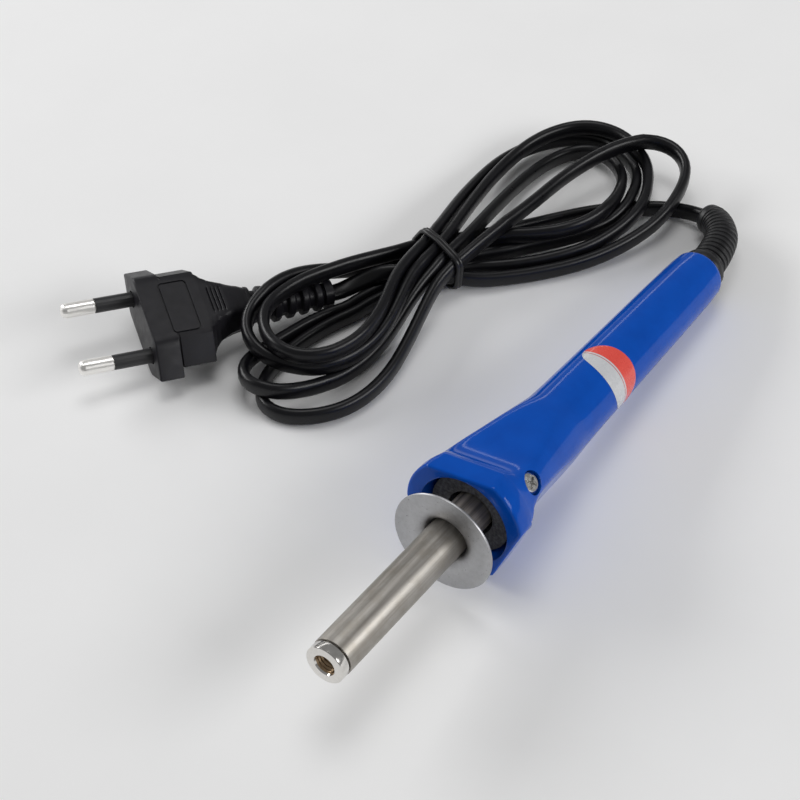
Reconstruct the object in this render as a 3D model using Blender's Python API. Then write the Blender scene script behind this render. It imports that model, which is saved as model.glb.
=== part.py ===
"""Plug-in soldering iron without its tip, lying on a flat surface with its cord tied in a hank.

Row frame, metres: the iron lies along X with its nose towards -X, its cord towards +Y, and +Z up.
The iron's own pieces are modelled along a straight local axis and then laid down on the surface,
so most lengths below are stations in millimetres, counted from the nose face along that axis.
"""
import math

import bmesh
import bpy
import numpy as np
from mathutils import Matrix, Vector

MM = 0.001
GAP = 0.3                       # clearance kept between neighbouring solids
SEGMENTS = 48                   # facets round the handle

# ---- iron, stations along its axis (mm) and radii (mm)
BUSH_LENGTH = 2.6
BUSH_RADIUS = 4.8
BUSH_STEM_RADIUS = 3.95
BUSH_STEM_END = 12.0
THREAD_RADIUS = 2.15
THREAD_MOUTH_RADIUS = 2.6
BARREL_RADIUS = 4.92
BARREL_BORE = 4.3
BARREL_END = 92.0
DISC_STATION = 44.9
DISC_RADIUS = 13.1
DISC_THICKNESS = 0.8
DISC_COLLAR_LENGTH = 4.6
RIM_STATION = 53.5
RIM_OPENING = 11.85
RIM_CORNER = 15.65
RIM_FLAT = 12.85
RIM_BEVEL = 0.5
COLLAR_CONTACT = 56.5
COLLAR_END = 59.2
CONE_END = 94.0
HANDLE_END = 169.7
REAR_CONTACT = 165.0
REAR_CONTACT_RADIUS = 7.5
FLAT_NORMALS = (99.0, -20.5, 219.0)   # directions of the three flats, degrees from -Y towards +Z
WASHER_STATION = 56.6
WASHER_THICKNESS = 3.7
WASHER_RADIUS = 10.5
WASHER_HOLE = 5.9
SHOULDER = WASHER_STATION + WASHER_THICKNESS + GAP
CLAMP_BORE = 7.7
CLAMP_END = 70.0
CAVITY_RADIUS = 6.2
CAVITY_END = 160.0
REAR_HOLE = 5.0
LEAD_OFFSET = 1.85              # the two cores run side by side, each this far from the axis
SCREW_STATION = 65.6
SCREW_ANGLE = 40.0
SCREW_FACE = 13.4               # outer face of the screw's head, from the iron's axis
SCREW_HEAD_RADIUS = 2.6
SCREW_HEAD_HEIGHT = 1.7
SCREW_SHANK = 1.4
SCREW_TIP = 5.9
LABEL_MIDDLE = 114.4
LABEL_REACH = 5.6
LABEL_FROM = -28.0
LABEL_TO = 120.0
LABEL_THICKNESS = 0.12

# ---- how the iron lies: on the collar's round corner and on its rear edge
TILT = math.atan((RIM_CORNER - REAR_CONTACT_RADIUS) / (REAR_CONTACT - COLLAR_CONTACT))
YAW = math.radians(0.235)
ORIGIN_STATION = 84.92
ORIGIN_SIDE = 0.16
AXIS_HEIGHT = RIM_CORNER * math.cos(TILT) + (COLLAR_CONTACT - ORIGIN_STATION) * math.sin(TILT)

# ---- plug, along its own axis from the pins' face (mm)
PLUG_PLACE = (-18.5, 107.1, 9.7)
PLUG_YAW = math.radians(146.4)
PLUG_PITCH = math.radians(-5.7)
PLUG_ROLL = math.radians(-12.5)
PIN_SPACING = 18.6
PIN_RADIUS = 2.0
PIN_LENGTH = 19.0
PIN_SLEEVE_LENGTH = 10.0
PIN_SLEEVE_RADIUS = 1.98
PIN_CORE_RADIUS = 1.5
FLANGE_WIDTH = 35.8
FLANGE_TOP_WIDTH = 21.2
FLANGE_HEIGHT = 13.9
FLANGE_DEPTH = 6.4
BLOCK_WIDTH = 30.8
BLOCK_TOP_WIDTH = 19.4
BLOCK_HEIGHT = 12.1
BLOCK_LIFT = 0.8
BLOCK_DEPTH = 9.25
PLUG_NECK = 27.0
PLUG_TAIL = 31.0
PLUG_LENGTH = 52.0

# ---- cord: flat twin flex
CORD_THICKNESS = 3.1
BOOT_ROUTE = ((94.0, 0.6, 7.1), (100.6, 2.0, 6.9), (105.3, 4.8, 6.3), (108.3, 7.8, 5.5), (109.6, 11.2, 4.7))
LEAD_ROUTE = ((109.75, 11.6, 4.6), (110.3, 14.0, 3.9), (110.5, 16.6, 3.3))
HANK_OUTLINE = (
    (56.2, 69.2), (64.0, 72.0), (78.0, 73.5), (94.0, 74.0), (110.0, 73.0), (122.0, 69.0), (130.0, 61.0),
    (132.0, 49.0), (131.5, 36.0), (126.5, 25.5), (116.0, 19.6), (104.0, 18.3), (92.0, 20.5), (80.0, 26.0),
    (68.0, 33.5), (56.5, 43.5), (47.6, 53.2), (38.0, 50.0), (24.0, 47.5), (9.0, 46.0), (-4.0, 47.0),
    (-13.0, 51.0), (-19.0, 57.5), (-21.5, 65.0), (-19.5, 73.0), (-14.0, 80.0), (-8.0, 84.0), (2.0, 87.0),
    (12.0, 90.5), (24.0, 90.0), (36.0, 84.5), (47.0, 75.0))
HANK_BASE = 0.3
HANK_HEIGHT = 13.5
WAIST = (51.7, 61.0)
WAIST_DIRECTION = math.radians(-29.0)
WAIST_LENGTH = 4.0
WAIST_BOTTOM = 2.4
WAIST_TOP = 9.4
WAIST_HALF_WIDTH = 10.2
TIE_RADIUS = 0.8


def point(x, y, z):
    return Vector((x * MM, y * MM, z * MM))


# ---------------------------------------------------------------- scene helpers

def clear_scene():
    for obj in list(bpy.data.objects):
        bpy.data.objects.remove(obj, do_unlink=True)
    for group in list(bpy.data.collections):
        bpy.data.collections.remove(group)


clear_scene()
PARTS = bpy.data.collections.new("soldering_iron")
CUTTERS = bpy.data.collections.new("cutters")
bpy.context.scene.collection.children.link(PARTS)
bpy.context.scene.collection.children.link(CUTTERS)


def material(name, color, roughness, metallic=0.0):
    """A Principled material for one sub-part."""
    mat = bpy.data.materials.new(name)
    mat.use_nodes = True
    shader = mat.node_tree.nodes["Principled BSDF"]
    shader.inputs["Base Color"].default_value = (*color, 1.0)
    shader.inputs["Roughness"].default_value = roughness
    shader.inputs["Metallic"].default_value = metallic
    return mat


def mesh_object(name, bm, parent=None, finish=None, collection=None):
    """Turn a bmesh into a named object."""
    bmesh.ops.recalc_face_normals(bm, faces=bm.faces)
    mesh = bpy.data.meshes.new(name)
    bm.to_mesh(mesh)
    bm.free()
    mesh.shade_smooth()
    mesh.set_sharp_from_angle(angle=math.radians(35))
    obj = bpy.data.objects.new(name, mesh)
    (collection or PARTS).objects.link(obj)
    obj.parent = parent
    if finish:
        mesh.materials.append(material(name, *finish))
    return obj


def loft(rings, closed):
    """Join rings of equal length; closed joins the last to the first, otherwise both ends are capped."""
    bm = bmesh.new()
    loops = [[bm.verts.new(p) for p in ring] for ring in rings]
    count = len(loops[0])
    pairs = list(zip(loops, loops[1:]))
    if closed:
        pairs.append((loops[-1], loops[0]))
    for first, second in pairs:
        for i in range(count):
            j = (i + 1) % count
            bm.faces.new((first[i], first[j], second[j], second[i]))
    if not closed:
        bm.faces.new(loops[0])
        bm.faces.new(list(reversed(loops[-1])))
    return bm


def ring_at(station, radius, segments, centre=(0.0, 0.0)):
    """A circle round the local X axis, in millimetres turned into metres."""
    ring = []
    for i in range(segments):
        a = 2 * math.pi * i / segments
        ring.append(point(station, centre[0] + radius * math.cos(a), centre[1] + radius * math.sin(a)))
    return ring


def turned(name, profile, parent, finish, segments=32, centre=(0.0, 0.0), bored=False):
    """A turned piece: profile is (station, radius) pairs; a bored one returns along its bore."""
    rings = [ring_at(s, r, segments, centre) for s, r in profile]
    return mesh_object(name, loft(rings, bored), parent, finish)


def cut(target, cutter):
    """Boolean difference that stays on the object as a modifier."""
    cutter.hide_render = True
    cutter.display_type = 'WIRE'
    mod = target.modifiers.new("cut_" + cutter.name, 'BOOLEAN')
    mod.operation = 'DIFFERENCE'
    mod.solver = 'EXACT'
    mod.object = cutter


def smooth_route(points, step):
    """Points about one step apart on a smooth curve through the given ones (centripetal Catmull-Rom)."""
    pts = [np.array(p, float) for p in points]
    pts = [2 * pts[0] - pts[1]] + pts + [2 * pts[-1] - pts[-2]]
    out = []
    for p0, p1, p2, p3 in zip(pts, pts[1:], pts[2:], pts[3:]):
        count = max(1, int(round(np.linalg.norm(p2 - p1) / step)))
        for i in range(count):
            t = i / count
            out.append(0.5 * (2 * p1 + (p2 - p0) * t + (2 * p0 - 5 * p1 + 4 * p2 - p3) * t * t
                              + (3 * p1 - p0 - 3 * p2 + p3) * t ** 3))
    out.append(pts[-2])
    return out


def tube(name, points, radius, finish, parent=None, sides=2, cyclic=False, radii=None):
    """A round tube on a POLY spline through points in millimetres."""
    curve = bpy.data.curves.new(name, 'CURVE')
    curve.dimensions = '3D'
    curve.bevel_depth = radius * MM
    curve.bevel_resolution = sides
    curve.use_fill_caps = not cyclic
    spline = curve.splines.new('POLY')
    spline.points.add(len(points) - 1)
    for i, p in enumerate(points):
        spline.points[i].co = (p[0] * MM, p[1] * MM, p[2] * MM, 1.0)
        spline.points[i].radius = radii[i] if radii else 1.0
    spline.use_cyclic_u = cyclic
    obj = bpy.data.objects.new(name, curve)
    PARTS.objects.link(obj)
    obj.parent = parent
    curve.materials.append(material(name, *finish))
    return obj


def box_cutter(name, size, place, yaw):
    """A box used only to cut; size and place in millimetres."""
    bm = bmesh.new()
    bmesh.ops.create_cube(bm, size=1.0)
    bmesh.ops.scale(bm, vec=Vector(size) * MM, verts=bm.verts)
    obj = mesh_object(name, bm, collection=CUTTERS)
    obj.matrix_world = Matrix.Translation(point(*place)) @ Matrix.Rotation(yaw, 4, 'Z')
    return obj


# ---------------------------------------------------------------- iron

iron = bpy.data.objects.new("iron_axis", None)
PARTS.objects.link(iron)
iron.matrix_world = (Matrix.Translation(point(0.0, -ORIGIN_SIDE, AXIS_HEIGHT))
                     @ Matrix.Rotation(YAW, 4, 'Z') @ Matrix.Rotation(TILT, 4, 'Y') @ Matrix.Translation(point(-ORIGIN_STATION, 0, 0)))


def blend(stops, s):
    """Straight interpolation through (station, value) stops."""
    for (s0, v0), (s1, v1) in zip(stops, stops[1:]):
        if s <= s1:
            return v0 + (v1 - v0) * max(0.0, s - s0) / (s1 - s0)
    return stops[-1][1]


CORNER_STOPS = ((RIM_STATION, RIM_CORNER), (COLLAR_CONTACT, RIM_CORNER), (58.0, 15.4), (COLLAR_END, 15.1),
                (60.0, 14.85), (62.0, 14.4), (66.0, 13.9), (70.0, 13.3), (76.0, 12.2), (CONE_END, 9.15),
                (100.0, 8.9), (112.0, 8.62), (130.0, 8.25), (150.0, 7.88), (REAR_CONTACT, REAR_CONTACT_RADIUS),
                (168.6, 7.2), (169.4, 6.8), (HANDLE_END, 6.2))
FLAT_STOPS = ((RIM_STATION, RIM_FLAT), (COLLAR_END, RIM_FLAT), (59.6, 12.25), (61.5, 11.4), (63.0, 10.6),
              (66.0, 9.7), (70.0, 9.3), (80.0, 9.2), (CONE_END, 9.7), (100.0, 14.0))
HANDLE_STATIONS = (RIM_STATION + RIM_BEVEL, COLLAR_CONTACT, 58.0, COLLAR_END, 59.6, 61.5, 63.0, 66.0, 70.0, 76.0,
                   82.0, 88.0, CONE_END, 100.0, 112.0, 130.0, 150.0, REAR_CONTACT, 168.6, 169.4, HANDLE_END)


def handle_section(station, inset=0.0):
    """The handle's outline at a station: a circle trimmed by three flats with softened edges."""
    corner = blend(CORNER_STOPS, station) - inset
    flat = blend(FLAT_STOPS, station) - inset
    softness = 90.0 if station <= COLLAR_END else 22.0
    ring = []
    for i in range(SEGMENTS):
        a = 2 * math.pi * i / SEGMENTS
        total = corner ** -softness
        for normal in FLAT_NORMALS:
            lean = math.cos(a - math.radians(normal))
            if lean > 0.2:
                total += (flat / lean) ** -softness
        radius = total ** (-1.0 / softness)
        ring.append(point(station, -radius * math.cos(a), radius * math.sin(a)))
    return ring


def inner_ring(station, radius):
    """A circle of the handle's inside, its points in step with the outline's."""
    ring = []
    for i in range(SEGMENTS):
        a = 2 * math.pi * i / SEGMENTS
        ring.append(point(station, -radius * math.cos(a), radius * math.sin(a)))
    return ring


def radial_cylinder(name, profile, segments, collection=None, finish=None):
    """A piece turned about the screw's axis: profile is (distance from the iron's axis, radius)."""
    bm = loft([ring_at(d, r, segments) for d, r in profile], False)
    obj = mesh_object(name, bm, iron, finish, collection)
    angle = math.radians(SCREW_ANGLE)
    direction = Vector((0.0, -math.cos(angle), math.sin(angle)))
    obj.matrix_local = (Matrix.Translation(point(SCREW_STATION, 0, 0))
                        @ Vector((1, 0, 0)).rotation_difference(direction).to_matrix().to_4x4())
    return obj


def make_handle():
    rings = [handle_section(RIM_STATION, RIM_BEVEL)]
    rings += [handle_section(s) for s in HANDLE_STATIONS]
    inside = ((HANDLE_END, REAR_HOLE), (CAVITY_END, REAR_HOLE), (CAVITY_END, CAVITY_RADIUS),
              (CLAMP_END + 5.0, CAVITY_RADIUS), (CLAMP_END, CLAMP_BORE), (SHOULDER, CLAMP_BORE),
              (SHOULDER, WASHER_RADIUS + GAP), (RIM_STATION, RIM_OPENING))
    rings += [inner_ring(s, r) for s, r in inside]
    handle = mesh_object("handle", loft(rings, True), iron, ((0.0, 0.06, 0.38), 0.22))
    hole = radial_cylinder("screw_hole", ((CLAMP_BORE - 1.2, SCREW_SHANK + GAP),
                                          (SCREW_FACE - SCREW_HEAD_HEIGHT - GAP, SCREW_SHANK + GAP),
                                          (SCREW_FACE - SCREW_HEAD_HEIGHT - GAP, SCREW_HEAD_RADIUS + GAP),
                                          (17.0, SCREW_HEAD_RADIUS + GAP)), 24, CUTTERS)
    cut(handle, hole)


def make_label():
    """A curved sticker: its outline is an oval wrapped round the handle."""
    bm = bmesh.new()
    columns = 20
    middle = (LABEL_FROM + LABEL_TO) / 2
    half = (LABEL_TO - LABEL_FROM) / 2
    for i in range(columns + 1):
        share = -1 + 2 * i / columns
        angle = math.radians(middle + half * share)
        reach = LABEL_REACH * math.sqrt(max(0.0, 1 - share * share)) + 0.15
        for k in (-1, 1):
            station = LABEL_MIDDLE + reach * k
            base = blend(CORNER_STOPS, station) + GAP
            for lift in (0.0, LABEL_THICKNESS):
                r = base + lift
                bm.verts.new(point(station, -r * math.cos(angle), r * math.sin(angle)))
    bm.verts.ensure_lookup_table()
    v = bm.verts
    for i in range(columns):
        a, b = 4 * i, 4 * (i + 1)
        for w, x, y, z in ((0, 1, 3, 2),):
            if i == 0:
                bm.faces.new((v[a + w], v[a + x], v[a + y], v[a + z]))
            if i == columns - 1:
                bm.faces.new((v[b + z], v[b + y], v[b + x], v[b + w]))
        for p, q in ((0, 1), (1, 3), (3, 2), (2, 0)):
            bm.faces.new((v[a + p], v[b + p], v[b + q], v[a + q]))
    mesh_object("rating_label", bm, iron, ((0.7, 0.05, 0.05), 0.35))


def make_screw():
    finish = ((0.8, 0.8, 0.8), 0.25, 1.0)
    under_head = SCREW_FACE - SCREW_HEAD_HEIGHT
    screw = radial_cylinder("retaining_screw", ((SCREW_TIP, SCREW_SHANK), (under_head, SCREW_SHANK),
                                                (under_head, SCREW_HEAD_RADIUS),
                                                (SCREW_FACE - 0.5, SCREW_HEAD_RADIUS),
                                                (SCREW_FACE, SCREW_HEAD_RADIUS - 0.7)), 24, None, finish)
    for turn in (0.0, math.pi / 2):
        bm = bmesh.new()
        bmesh.ops.create_cube(bm, size=1.0)
        bmesh.ops.scale(bm, vec=Vector((2.4, 3.0, 0.7)) * MM, verts=bm.verts)
        slot = mesh_object("cross_slot_%d" % round(math.degrees(turn)), bm, None, None, CUTTERS)
        slot.parent = screw
        slot.matrix_local = Matrix.Translation(point(SCREW_FACE, 0, 0)) @ Matrix.Rotation(turn, 4, 'X')
        cut(screw, slot)


def make_front():
    steel = ((0.45, 0.43, 0.41), 0.35, 1.0)
    turned("nose_bush", ((0.0, THREAD_MOUTH_RADIUS), (0.0, BUSH_RADIUS - 0.3), (0.3, BUSH_RADIUS),
                         (BUSH_LENGTH, BUSH_RADIUS), (BUSH_LENGTH, BUSH_STEM_RADIUS),
                         (BUSH_STEM_END, BUSH_STEM_RADIUS), (BUSH_STEM_END, THREAD_RADIUS),
                         (0.5, THREAD_RADIUS)), iron, ((0.8, 0.79, 0.77), 0.15, 1.0), bored=True)
    turned("barrel_tube", ((BUSH_LENGTH + GAP, BARREL_RADIUS), (BARREL_END, BARREL_RADIUS),
                           (BARREL_END, BARREL_BORE), (BUSH_LENGTH + GAP, BARREL_BORE)),
           iron, steel, bored=True)
    hole = BARREL_RADIUS + GAP
    back = DISC_STATION + DISC_THICKNESS
    turned("guard_disc", ((DISC_STATION, DISC_RADIUS), (back, DISC_RADIUS), (back, hole + 2.4),
                          (back + 0.7, hole + 1.2), (back + DISC_COLLAR_LENGTH, hole + 0.8),
                          (back + DISC_COLLAR_LENGTH, hole), (DISC_STATION + 1.3, hole),
                          (DISC_STATION, hole + 1.6)),
           iron, ((0.55, 0.55, 0.55), 0.4, 1.0), 40, bored=True)
    turned("insulating_washer", ((WASHER_STATION, WASHER_RADIUS),
                                 (WASHER_STATION + WASHER_THICKNESS, WASHER_RADIUS),
                                 (WASHER_STATION + WASHER_THICKNESS, WASHER_HOLE),
                                 (WASHER_STATION, WASHER_HOLE)), iron, ((0.03, 0.03, 0.03), 0.8), 40, bored=True)


def make_clamp():
    """The steel ring on the barrel that the retaining screw bears on, split by the screw's hole."""
    outer = CLAMP_BORE - GAP
    inner = BARREL_RADIUS + GAP
    start = SHOULDER + GAP
    ring = turned("barrel_clamp", ((start, outer), (CLAMP_END - GAP, outer), (CLAMP_END - GAP, inner),
                                   (start, inner)), iron, ((0.6, 0.6, 0.58), 0.4, 1.0), 32, bored=True)
    tapped = radial_cylinder("clamp_hole", ((inner - 1.5, SCREW_SHANK + GAP), (outer + 1.5, SCREW_SHANK + GAP)),
                             16, CUTTERS)
    cut(ring, tapped)


def make_heater():
    turned("heater_core", ((14.0, 1.8), (60.0, 1.8), (60.0, 1.0), (14.0, 1.0)),
           iron, ((0.8, 0.78, 0.7), 0.7), 16, bored=True)
    turns, per_turn = 9, 10
    coil = []
    for i in range(turns * per_turn + 1):
        a = 2 * math.pi * i / per_turn
        coil.append((16.0 + 42.0 * i / (turns * per_turn), 2.45 * math.cos(a), 2.45 * math.sin(a)))
    tube("heating_coil", coil, 0.25, ((0.4, 0.36, 0.32), 0.5, 1.0), iron, 1)
    turned("mica_sleeve", ((13.0, 3.7), (62.0, 3.7), (62.0, 3.05), (13.0, 3.05)),
           iron, ((0.6, 0.5, 0.3), 0.5), 24, bored=True)
    bead = turned("ceramic_bead", ((63.0, 3.9), (70.0, 3.9)), iron, ((0.85, 0.83, 0.78), 0.6), 24)
    for side, name in ((-1, "live"), (1, "neutral")):
        place = (side * LEAD_OFFSET, 0.0)
        bore = turned("bead_hole_" + name, ((62.0, 0.75), (71.0, 0.75)), iron, None, 12, place)
        PARTS.objects.unlink(bore)
        CUTTERS.objects.link(bore)
        cut(bead, bore)
        turned("heater_lead_" + name, ((61.0, 0.35), (107.0, 0.35)), iron,
               ((0.7, 0.68, 0.65), 0.4, 1.0), 8, place)
        turned("lead_sleeve_" + name, ((71.0, 1.15), (102.0, 1.15), (102.0, 0.7), (71.0, 0.7)), iron,
               ((0.85, 0.85, 0.8), 0.8), 12, place, True)
        turned("crimp_" + name, ((103.0, 1.5), (114.0, 1.5), (114.0, 1.25), (109.0, 0.7), (103.0, 0.7)),
               iron, ((0.75, 0.75, 0.75), 0.35, 1.0), 12, place, True)
        turned("cord_core_" + name, ((110.0, 0.5), (114.6, 0.5), (114.6, 1.25), (158.8, 1.25)), iron,
               (((0.02, 0.12, 0.5) if side > 0 else (0.3, 0.12, 0.04)), 0.5), 12, place)


def make_cord_clamp():
    """The moulded grommet that keeps the cord's two cores from pulling out of the handle."""
    clamp = turned("core_grommet", ((144.0, 5.6), (152.0, 5.6)), iron, ((0.85, 0.85, 0.82), 0.5), 24)
    for side in (-1, 1):
        bore = turned("grommet_hole_%d" % (side + 1), ((143.0, 1.6), (153.0, 1.6)), iron, None, 12,
                      (side * LEAD_OFFSET, 0.0))
        PARTS.objects.unlink(bore)
        CUTTERS.objects.link(bore)
        cut(clamp, bore)


def iron_point(station, side=0.0, up=0.0):
    """A point given in the iron's local frame, in row millimetres."""
    return tuple(c / MM for c in (iron.matrix_world @ point(station, side, up)))


def make_boot():
    """Strain relief boot: a stem in the handle, a collar against it, and a bending tapered tail."""
    stem = [iron_point(s) for s in (CAVITY_END - 0.4, HANDLE_END + GAP)]
    collar = [iron_point(s) for s in (HANDLE_END + GAP + 0.01, HANDLE_END + 3.4)]
    tail = smooth_route([iron_point(HANDLE_END + 4.0)] + list(BOOT_ROUTE), 2.2)
    points = stem + collar + tail
    radii = [REAR_HOLE - GAP] * 2 + [6.1] * 2
    for i in range(len(tail)):
        radii.append(4.95 - 0.75 * i / (len(tail) - 1))
    radii[-1] = 3.6
    tube("strain_relief_boot", points, 1.0, ((0.03, 0.03, 0.035), 0.5), None, 4, False, radii)


# ---------------------------------------------------------------- plug

plug = bpy.data.objects.new("plug_axis", None)
PARTS.objects.link(plug)
plug.matrix_world = (Matrix.Translation(point(*PLUG_PLACE)) @ Matrix.Rotation(PLUG_YAW, 4, 'Z')
                     @ Matrix.Rotation(PLUG_PITCH, 4, 'Y') @ Matrix.Rotation(PLUG_ROLL, 4, 'X'))


def plug_section(station, width, top_width, height, soft, lift=0.0):
    """The plug's outline with rounded corners, as a ring of equal count at every station."""
    w, h, t = width / 2, height / 2, top_width / 2
    ring = []
    slope = math.atan2(w - t, h)
    for i in range(24):
        a = 2 * math.pi * i / 24
        c, s = abs(math.cos(a)), abs(math.sin(a))
        top = s / h
        chamfer = (c * math.cos(slope) + s * math.sin(slope)) / (w * math.cos(slope))
        radius = (top ** soft + chamfer ** soft) ** (-1.0 / soft)
        ring.append(point(station, radius * math.cos(a), radius * math.sin(a) + lift))
    return ring


def make_plug():
    black = ((0.025, 0.025, 0.028), 0.45)
    flange = FLANGE_DEPTH
    block = FLANGE_DEPTH + BLOCK_DEPTH
    rings = [plug_section(0.0, FLANGE_WIDTH, FLANGE_TOP_WIDTH, FLANGE_HEIGHT, 40),
             plug_section(-flange, FLANGE_WIDTH, FLANGE_TOP_WIDTH, FLANGE_HEIGHT, 40),
             plug_section(-flange, BLOCK_WIDTH, BLOCK_TOP_WIDTH, BLOCK_HEIGHT, 40, BLOCK_LIFT),
             plug_section(-block, BLOCK_WIDTH, BLOCK_TOP_WIDTH, BLOCK_HEIGHT, 40, BLOCK_LIFT),
             plug_section(-block - 1.2, BLOCK_WIDTH - 8.0, BLOCK_TOP_WIDTH - 4.0, BLOCK_HEIGHT, 20, BLOCK_LIFT),
             plug_section(-block - 6.0, 15.4, 10.0, 11.6, 14, BLOCK_LIFT),
             plug_section(-PLUG_NECK, 12.5, 8.5, 10.0, 9, BLOCK_LIFT / 2),
             plug_section(-PLUG_TAIL, 9.6, 6.4, 9.4, 5),
             plug_section(-PLUG_LENGTH, 6.2, 4.0, 6.0, 4)]
    body = mesh_object("plug_body", loft(rings, False), plug, black)
    for side, name in ((-1, "far"), (1, "near")):
        place = (side * PIN_SPACING / 2, 0.0)
        socket = turned("pin_socket_" + name, ((-4.6, PIN_RADIUS + GAP), (1.0, PIN_RADIUS + GAP)), plug, None,
                        16, place)
        PARTS.objects.unlink(socket)
        CUTTERS.objects.link(socket)
        cut(body, socket)
        tip = PIN_LENGTH
        turned("plug_pin_" + name, ((-4.2, PIN_RADIUS), (-1.0, PIN_RADIUS), (-1.0, PIN_CORE_RADIUS),
                                    (PIN_SLEEVE_LENGTH + GAP, PIN_CORE_RADIUS),
                                    (PIN_SLEEVE_LENGTH + GAP, PIN_RADIUS), (tip - 1.5, PIN_RADIUS),
                                    (tip - 0.9, PIN_RADIUS - 0.13), (tip - 0.45, PIN_RADIUS - 0.42),
                                    (tip - 0.15, PIN_RADIUS - 0.85), (tip, PIN_RADIUS - 1.4)),
               plug, ((0.8, 0.79, 0.77), 0.2, 1.0), 24, place)
        turned("pin_sleeve_" + name, ((-0.7, PIN_SLEEVE_RADIUS), (PIN_SLEEVE_LENGTH, PIN_SLEEVE_RADIUS),
                                      (PIN_SLEEVE_LENGTH, PIN_CORE_RADIUS + GAP / 2),
                                      (-0.7, PIN_CORE_RADIUS + GAP / 2)), plug, black, 16, place, True)


# ---------------------------------------------------------------- cord, hank and tie

def closed_outline(points, per_span):
    """A smooth closed curve through the given plan points."""
    pts = [np.array(p, float) for p in points]
    out = []
    n = len(pts)
    for i in range(n):
        p0, p1, p2, p3 = pts[i - 1], pts[i], pts[(i + 1) % n], pts[(i + 2) % n]
        for k in range(per_span):
            t = k / per_span
            out.append(0.5 * (2 * p1 + (p2 - p0) * t + (2 * p0 - 5 * p1 + 4 * p2 - p3) * t * t
                              + (3 * p1 - p0 - 3 * p2 + p3) * t ** 3))
    return out


def make_hank():
    """The tied hank's outer shape: a flat outline, waisted for the tie and slotted for the plug's tail."""
    curve = bpy.data.curves.new("cord_hank", 'CURVE')
    curve.dimensions = '2D'
    curve.fill_mode = 'BOTH'
    curve.extrude = HANK_HEIGHT / 2 * MM
    spline = curve.splines.new('POLY')
    outline = closed_outline(HANK_OUTLINE, 2)
    spline.points.add(len(outline) - 1)
    for i, p in enumerate(outline):
        spline.points[i].co = (p[0] * MM, p[1] * MM, 0.0, 1.0)
    spline.use_cyclic_u = True
    draft = bpy.data.objects.new("hank_draft", curve)
    PARTS.objects.link(draft)
    draft.location = point(0, 0, HANK_BASE + HANK_HEIGHT / 2)
    bpy.context.view_layer.update()
    seen = draft.evaluated_get(bpy.context.evaluated_depsgraph_get())
    mesh = bpy.data.meshes.new_from_object(seen)
    place = draft.matrix_world.copy()
    bpy.data.objects.remove(draft, do_unlink=True)
    bm = bmesh.new()
    bm.from_mesh(mesh)
    bmesh.ops.remove_doubles(bm, verts=bm.verts, dist=0.00001)
    hank = mesh_object("cord_hank", bm, None, ((0.02, 0.02, 0.022), 0.4))
    hank.matrix_world = place
    top = HANK_BASE + HANK_HEIGHT
    for name, low, high in (("waist_top", WAIST_TOP, top + 4), ("waist_bottom", -3.0, WAIST_BOTTOM)):
        cut(hank, box_cutter(name, (WAIST_LENGTH, 60.0, high - low), (*WAIST, (low + high) / 2),
                             WAIST_DIRECTION))
    slots = (("plug_slot_wide", 5.0, PLUG_NECK + 1.0, 22.0), ("plug_slot_tail", PLUG_NECK, PLUG_LENGTH + 6.0, 12.5))
    for name, start, end, width in slots:
        slot = box_cutter(name, (end - start, width, 24.0), (0, 0, 0), 0.0)
        slot.parent = plug
        slot.matrix_local = Matrix.Translation(point(-(start + end) / 2, 0, 0))
        cut(hank, slot)
    return hank


def make_tie():
    """A wire tie round the waist, a rounded rectangle standing across the strands."""
    half = WAIST_HALF_WIDTH + GAP + TIE_RADIUS
    low = WAIST_BOTTOM - GAP - TIE_RADIUS
    high = WAIST_TOP + GAP + TIE_RADIUS
    middle = (low + high) / 2
    rise = (high - low) / 2
    loop = []
    for i in range(32):
        a = 2 * math.pi * i / 32
        c, s = math.cos(a), math.sin(a)
        r = (abs(c / half) ** 10 + abs(s / rise) ** 10) ** (-0.1)
        across = r * c
        loop.append((WAIST[0] - across * math.sin(WAIST_DIRECTION), WAIST[1] + across * math.cos(WAIST_DIRECTION),
                     middle + r * s))
    tube("cord_tie", loop, TIE_RADIUS, ((0.02, 0.02, 0.02), 0.5), None, 2, True)


def make_leads():
    black = ((0.02, 0.02, 0.022), 0.4)
    tube("cord_lead", smooth_route(LEAD_ROUTE, 1.3), CORD_THICKNESS / 2, black)
    row = plug.matrix_world
    ends = [row @ point(-PLUG_LENGTH - GAP - d, 0, 0) for d in (0.0, 2.7, 5.2)]
    tube("cord_plug_lead", [tuple(c / MM for c in p) for p in ends], CORD_THICKNESS / 2, black)


bpy.context.view_layer.update()
make_handle()
make_label()
make_screw()
make_front()
make_clamp()
make_heater()
make_cord_clamp()
make_boot()
make_plug()
make_hank()
make_tie()
make_leads()
bpy.context.view_layer.update()
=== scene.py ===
"""Looks for the plug-in soldering iron: the CAD frame dressed with detailed pieces and materials.

Row frame, metres: the iron lies along X with its nose towards -X, its cord towards +Y, and +Z up.
"""
import math

import bmesh
import bpy
import numpy as np
from mathutils import Matrix, Vector


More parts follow.
